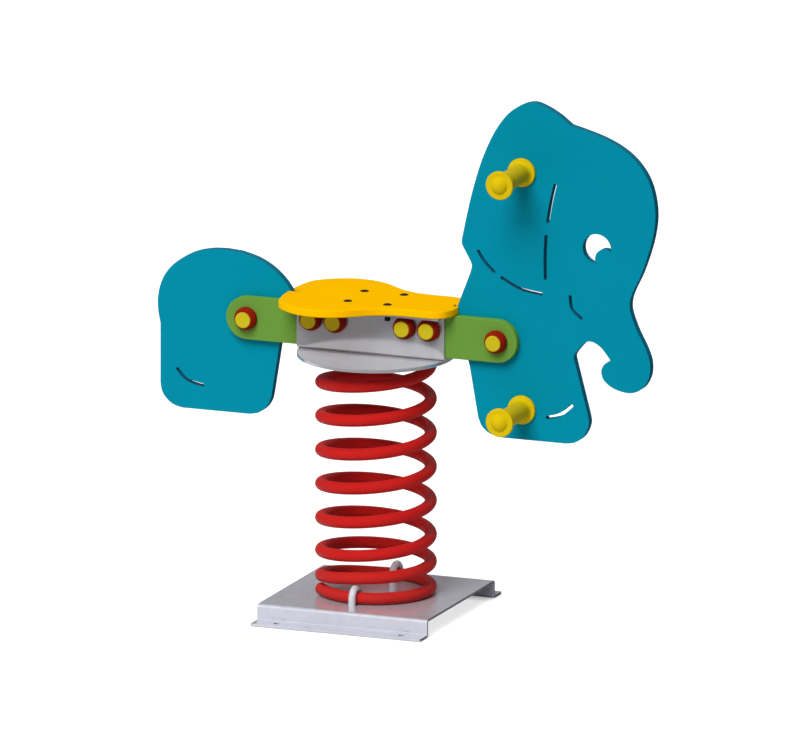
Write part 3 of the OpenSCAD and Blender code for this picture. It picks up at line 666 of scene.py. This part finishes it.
smooth_zinc = zinc_sheet("smooth galvanised sheet", colour(219, 219, 224),
                         colour(203, 203, 208), 0.08, 0.7)
piece("round_head_plate", [board("head_plate", UPRIGHT, 0.6 * MM, steps=2)], smooth_zinc, "rider",
      ["head_plate"])
piece("folded_seat_bracket", [softened("seat_bracket", 0.4 * MM)], smooth_zinc, "rider",
      ["seat_bracket"])


# Beams and spacers: bars cut from 13 mm green polyethylene board, with their edges rounded on
# a router table. Four bars run from the bracket to the panels, and short blocks fill the room
# between each pair inside the bracket.
def coloured_board(name, face, edge, axis, edge_paint_share, gloss=0.03):
    """Solid-coloured board that lies across an axis, with a fine moulded grain, a little uneven
    and scuffed. Its sawn edges take the edge colour by the given share: painted light or shade."""
    skin = Finish(bpy.data.materials.new(name))
    place = skin.node("ShaderNodeTexCoord", output="Object")
    cloud = skin.noise(place, 14.0, 4.0)
    grain = skin.noise(place, 900.0, 2.0)
    scuffs = skin.noise(skin.node("ShaderNodeMapping", None, {
        "Vector": place, "Scale": (1.0, 1.0, 6.0), "Rotation": (0.3, 0.5, 0.2)}), 70.0, 6.0)
    scuffed = ((scuffs - 0.66) * 5.0).clamped()
    outward = skin.node("ShaderNodeSeparateXYZ", None,
                        {0: skin.node("ShaderNodeTexCoord", output="Normal")}, axis)
    sawn = 1 - ((outward.math("ABSOLUTE") - 0.35) * 2.5).clamped()
    dark, light = tuple(c * 0.96 for c in face[:3]), tuple(c * 1.04 for c in face[:3])
    base = skin.mix(cloud, (*dark, 1), (*light, 1))
    base = skin.mix(scuffed * 0.03, base, (0.8, 0.8, 0.8, 1))
    # Painted light or shade: the sawn edges are blended toward the edge colour.
    base = skin.mix(sawn * edge_paint_share, base, edge)
    lines = skin.noise(skin.node("ShaderNodeMapping", None, {
        "Vector": place, "Scale": (1.0, 40.0, 1.0) if axis == "Y" else (1.0, 1.0, 40.0)}),
        60.0, 2.0)
    height = grain + lines * sawn * 1.5
    rough = 0.42 + cloud * 0.06 + scuffed * 0.12 + sawn * 0.08
    return surface(skin, base, rough, 0.0, height, bump_size=0.06 * MM, gloss=gloss)


BEAM_ROUND = 1.4 * MM
# Its lighter second green, on the sawn edges, is a painted highlight.
green = coloured_board("green board", colour(102, 147, 58), colour(108, 168, 60), "Y", 0.6)
for end in ("rear", "front"):
    for side in ("right", "left"):
        node = f"{end}_beam_{side}"
        piece(f"{node}_bar", [board(node, ACROSS, BEAM_ROUND)], green, "rider", [node])
    piece(f"{end}_spacer_block", [board(f"{end}_spacer", ACROSS, BEAM_ROUND)], green, "rider",
          [f"{end}_spacer"])


# Panels: the head and the tail end of the animal, cut from 15 mm blue-green polyethylene
# board. Their cut edges are painted a darker blue-green, a painted shade. Each is bolted between
# two beams.
PANEL_ROUND = 0.6 * MM
# Its darker second colour, on the sawn edges, is a painted shade.
blue = coloured_board("blue-green board", colour(0, 135, 160), colour(5, 112, 142), "Y", 1.0)
for node, name in (("head_panel", "head_board"), ("rear_panel", "tail_board")):
    piece(name, [board(node, ACROSS, PANEL_ROUND)], blue, "rider", [node])


# Seat: a 13 mm yellow polyethylene board with rounded edges, slotted round the panels and
# bolted through to the bracket's flanges. Its four bolt heads sit in sunk holes.
SEAT_ROUND, SLOT_ROUND, SLOT_HALF = 2.4 * MM, 0.4 * MM, 9 * MM
HEAD_SINK, HEAD_RIM = 2.5 * MM, 0.5 * MM
NUT_HOLE, NUT_RIM = 3 * MM, 0.1 * MM


def seat_board():
    """The seat: its outline with the slots, and blind holes for heads above and nuts below."""
    low, high = (corner[UPRIGHT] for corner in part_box("seat"))
    top, bottom = loops_at("seat", UPRIGHT, high), loops_at("seat", UPRIGHT, low)
    outline = top[0]
    n = len(outline)
    profile = rounded_edge(SEAT_ROUND, low, high, 5)
    slot_edge = rounded_edge(SLOT_ROUND, low, high, 5)
    points = []
    for (depth, level), (slot_depth, slot_level) in zip(profile, slot_edge):
        for p, outer, inner in zip(outline, inset(outline, depth), inset(outline, slot_depth)):
            in_slot = abs(p.y) < SLOT_HALF
            points.append((*(inner if in_slot else outer), slot_level if in_slot else level))
    faces = [(j * n + k, (j + 1) * n + k, (j + 1) * n + (k + 1) % n, j * n + (k + 1) % n)
             for j in range(len(profile) - 1) for k in range(n)]
    flat_faces = []
    last = (len(profile) - 1) * n
    for first, holes, level, depth, edge, turn in (
            (0, top[1:], high, HEAD_SINK, HEAD_RIM, 1),
            (last, bottom[1:], low, NUT_HOLE, NUT_RIM, -1)):
        rims = [list(range(first, first + n))]
        for hole in holes:
            start, m = len(points), len(hole)
            rings = [(edge, level), (0.3 * edge, level - turn * 0.3 * edge),
                     (0.0, level - turn * edge), (0.0, level - turn * depth)]
            for grow, z in rings:
                points += [(p.x, p.y, z) for p in inset(hole, grow)]
            for j in range(len(rings) - 1):
                a, b = start + j * m, start + (j + 1) * m
                faces += [(a + k, b + k, b + (k + 1) % m, a + (k + 1) % m) for k in range(m)]
            faces.append(tuple(range(start + (len(rings) - 1) * m, start + len(rings) * m)))
            rims.append(list(range(start, start + m)))
        order = [i for rim in rims for i in rim]
        flat_faces += [t[::turn] for t in filled([points[i][:2] for i in order], order,
                                                 [len(rim) for rim in rims])]
    return mesh_of("seat", points, faces + flat_faces)


# Its brighter second yellow, on the seat's sawn sides, is painted light.
yellow = coloured_board("yellow board", colour(249, 186, 0), colour(255, 189, 0), "Z", 1.0, 0.0)
piece("seat_board", [seat_board()], yellow, "rider", ["seat"])


# Seat bolts: four black-coated screws with a low domed head and a hexagon socket, turned
# into rivet nuts that are set in the bracket's flanges, whose dark ends stick out below.
def turned(name, profile, around=64):
    """A body turned round the Z axis. The profile is a list of (radius, height)."""
    points, rows = [], []
    for r, z in profile:
        if r < 1e-7:
            rows.append([len(points)] * around)
            points.append((0, 0, z))
        else:
            rows.append(list(range(len(points), len(points) + around)))
            points += [(r * math.cos(2 * math.pi * k / around),
                        r * math.sin(2 * math.pi * k / around), z) for k in range(around)]
    closed = rows[0][0] != rows[0][1] or rows[-1][0] != rows[-1][1]
    pairs = list(zip(rows, rows[1:] + rows[:1] if closed else rows[1:]))
    faces = []
    for low, high in pairs:
        for k in range(around):
            m = (k + 1) % around
            corners = [low[k], low[m], high[m], high[k]]
            kept = [c for i, c in enumerate(corners) if c != corners[i - 1]]
            if len(set(kept)) > 2:
                faces.append(tuple(kept))
    return mesh_of(name, points, faces)


def eased(corners, steps=4):
    """A profile whose corners are rounded. Each corner is (radius, height, rounding), and the
    profile's ends stay sharp."""
    path = []
    for i, (r, z, ease) in enumerate(corners):
        here = Vector((r, z))
        if not ease or i in (0, len(corners) - 1):
            path.append((r, z))
            continue
        before = Vector(corners[i - 1][:2]) - here
        after = Vector(corners[i + 1][:2]) - here
        reach = min(ease, 0.49 * before.length, 0.49 * after.length)
        start, end = here + before.normalized() * reach, here + after.normalized() * reach
        for k in range(steps + 1):
            t = k / steps
            path.append(tuple((1 - t) ** 2 * start + 2 * t * (1 - t) * here + t * t * end))
    return path


def stood(mesh, x, y, z, side=0):
    """Moves a turned body to its place: upright, or lying outwards along Y on one side."""
    turn = Matrix.Rotation(math.radians(-90 * side), 4, "X")
    mesh.transform(Matrix.Translation((x, y, z)) @ turn)
    return mesh


def socket_screw(x, y, z):
    """The low domed head and the shank of a screw, with a hexagon socket in the head."""
    head_r, head_h, shank_r, shank_end = 7 * MM, 4 * MM, 3 * MM, -24 * MM
    socket_r, socket_h, around = 2.1 * MM, 1.6 * MM, 48
    rows = []
    for depth, inner in ((socket_h, 0.0), (socket_h, 1.0), (0.15 * MM, 1.0), (0.0, 1.12)):
        rows.append([])
        for k in range(around):
            t = 2 * math.pi * k / around
            r = inner * socket_r / math.cos(off_flat(t))
            rows[-1].append((r * math.cos(t), r * math.sin(t), head_h - depth))
    rim = eased([(3.4 * MM, head_h, 0), (6 * MM, head_h - 0.5 * MM, 2 * MM),
                 (head_r, 2.9 * MM, 0.7 * MM), (head_r, 0, 0),
                 (shank_r, 0, 0), (shank_r, shank_end, 0)])
    rows += [[(r * math.cos(2 * math.pi * k / around), r * math.sin(2 * math.pi * k / around), h)
              for k in range(around)] for r, h in rim]
    points = [p for row in rows[1:] for p in row] + [(0, 0, head_h - socket_h)]
    faces = [(j * around + k, j * around + (k + 1) % around,
              (j + 1) * around + (k + 1) % around, (j + 1) * around + k)
             for j in range(len(rows) - 2) for k in range(around)]
    faces += [(k, (k + 1) % around, len(points) - 1) for k in range(around)]
    faces.append(tuple(range((len(rows) - 2) * around, (len(rows) - 1) * around)))
    return stood(mesh_of("screw", points, faces), x, y, z)


black_steel = plated("black coated steel", colour(44, 44, 45), colour(26, 26, 27), 0.32)
SEAT_BOLTS = [(x * MM, y * MM) for x in (-35, 35) for y in (-37, 37)]
HEAD_SEAT, NUT_END = 523.5 * MM, 499 * MM
piece("seat_screws", [socket_screw(x, y, HEAD_SEAT) for x, y in SEAT_BOLTS], black_steel,
      "rider", ["seat_bolts"])
rivet_nut = eased([(3.1 * MM, 0, 0), (4.3 * MM, 0, 0), (4.95 * MM, 0.8 * MM, 0.5 * MM),
                   (4.95 * MM, 14 * MM, 0), (3.1 * MM, 14 * MM, 0)])
piece("seat_rivet_nuts", [stood(turned("nut", rivet_nut, 32), x, y, NUT_END)
                          for x, y in SEAT_BOLTS], black_steel, "rider",
      ["seat_nuts"])


# Through bolts: zinc-plated hexagon bolts with washers and nuts. They join the bracket, the
# beams and the panels. Their covers hide them, so they stay the CAD solids.
def steel_fasteners(*nodes):
    for node in nodes:
        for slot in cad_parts[node].material_slots:
            slot.material = fixing_steel


steel_fasteners("bracket_bolts", "bracket_bolt_nuts", "bracket_bolt_washers",
                "panel_bolts", "panel_bolt_nuts", "panel_bolt_washers")


# Bolt covers: a round red base that domes inwards round each bolt head or nut, moulded in
# plastic, closed by a yellow cap that snaps into it.
def moulded(name, light, dark, rough):
    """Moulded plastic: even colour, a soft sheen, and the faintest unevenness."""
    plastic = Finish(bpy.data.materials.new(name))
    place = plastic.node("ShaderNodeTexCoord", output="Object")
    cloud = plastic.noise(place, 45.0, 3.0)
    fine = plastic.noise(place, 1100.0, 2.0)
    return surface(plastic, plastic.mix(cloud, dark, light), rough + cloud * 0.08, 0.0, fine,
                   bump_size=0.03 * MM, gloss=0.03)


cover_red = moulded("red plastic", colour(150, 32, 16), colour(133, 23, 11), 0.3)
cap_yellow = moulded("yellow plastic cap", colour(200, 184, 33), colour(190, 173, 26), 0.34)
cover_profile = eased([(12.7 * MM, 0, 0), (19.3 * MM, 0, 0.5 * MM), (19.3 * MM, 8 * MM, 5 * MM),
                       (14.6 * MM, 15 * MM, 1.6 * MM), (12.7 * MM, 15 * MM, 0)], 6)
cap_profile = eased([(0, 15.2 * MM, 0), (10.6 * MM, 15.2 * MM, 0), (10.6 * MM, 12 * MM, 0),
                     (12.6 * MM, 12 * MM, 0), (12.6 * MM, 15 * MM, 0), (13.2 * MM, 15 * MM, 0),
                     (13.2 * MM, 17.5 * MM, 1.4 * MM), (9 * MM, 17.5 * MM, 0),
                     (0, 17.5 * MM, 0)], 5)
BRACKET_BOLTS = [(x * MM, 487 * MM) for x in (-104, -61, 61, 104)]
PANEL_BOLTS = [(x * MM, 476.5 * MM) for x in (-220.5, 220.5)]
BRACKET_FACE, BEAM_FACE = 24.8 * MM, 20.5 * MM
for side, where in ((-1, "right"), (1, "left")):
    for group, bolts, face in (("bracket", BRACKET_BOLTS, BRACKET_FACE),
                               ("panel", PANEL_BOLTS, BEAM_FACE)):
        piece(f"{group}_bolt_covers_{where}",
              [stood(turned("cover", cover_profile), x, side * face, z, side)
               for x, z in bolts], cover_red, "rider", [f"{group}_cover_bases_{where}"])
        piece(f"{group}_bolt_caps_{where}",
              [stood(turned("cap", cap_profile), x, side * face, z, side)
               for x, z in bolts], cap_yellow, "rider", [f"{group}_cover_caps_{where}"])


# Hand grips and foot rests: moulded yellow handles with a flange at each end, held against
# the head panel by a rod right through it, with a nut in each outer end under a domed cap.
grip_yellow = moulded("yellow plastic grip", colour(219, 190, 14), colour(207, 178, 10), 0.36)
GRIP_X, GRIP_START, GRIP_LENGTH = 261 * MM, 7.5 * MM, 103 * MM
grip_profile = eased([
    (5.25 * MM, 0, 0), (24 * MM, 0, 1.2 * MM), (24 * MM, 6 * MM, 1.8 * MM),
    (18.6 * MM, 6.8 * MM, 2 * MM), (16 * MM, 12 * MM, 4 * MM), (16 * MM, 40 * MM, 0),
    (16 * MM, 63 * MM, 0), (16 * MM, 91 * MM, 4 * MM), (18.6 * MM, 96.2 * MM, 2 * MM),
    (24 * MM, 97 * MM, 1.8 * MM), (24 * MM, GRIP_LENGTH, 2.2 * MM),
    (12.5 * MM, GRIP_LENGTH, 0.4 * MM), (12.5 * MM, 90 * MM, 0), (5.25 * MM, 90 * MM, 0)], 6)
DOME_BALL, DOME_H, DOME_REACH = 17.1 * MM, 8 * MM, 1.008
dome_profile = ([(0, -0.2 * MM), (10.6 * MM, -0.2 * MM), (10.6 * MM, -3 * MM),
                 (12.4 * MM, -3 * MM), (12.4 * MM, 0)]
                + [(DOME_BALL * math.sin(DOME_REACH * (1 - t / 12)),
                    DOME_H - DOME_BALL + DOME_BALL * math.cos(DOME_REACH * (1 - t / 12)))
                   for t in range(12)] + [(0, DOME_H)])
for part, z in (("hand_grip", 763 * MM), ("foot_rest", 363 * MM)):
    for side, where in ((-1, "right"), (1, "left")):
        piece(f"{part}_handle_{where}",
              [stood(turned("grip", grip_profile, 96), GRIP_X, side * GRIP_START, z, side)],
              grip_yellow, "rider", [f"{part}_{where}"])
    piece(f"{part}_domes",
          [stood(turned("dome", dome_profile), GRIP_X, side * (GRIP_START + GRIP_LENGTH), z, side)
           for side in (-1, 1)], grip_yellow, "rider", [f"{part}_caps"])
    steel_fasteners(f"{part}_rod", f"{part}_washers", f"{part}_nuts")


bpy.context.view_layer.update()
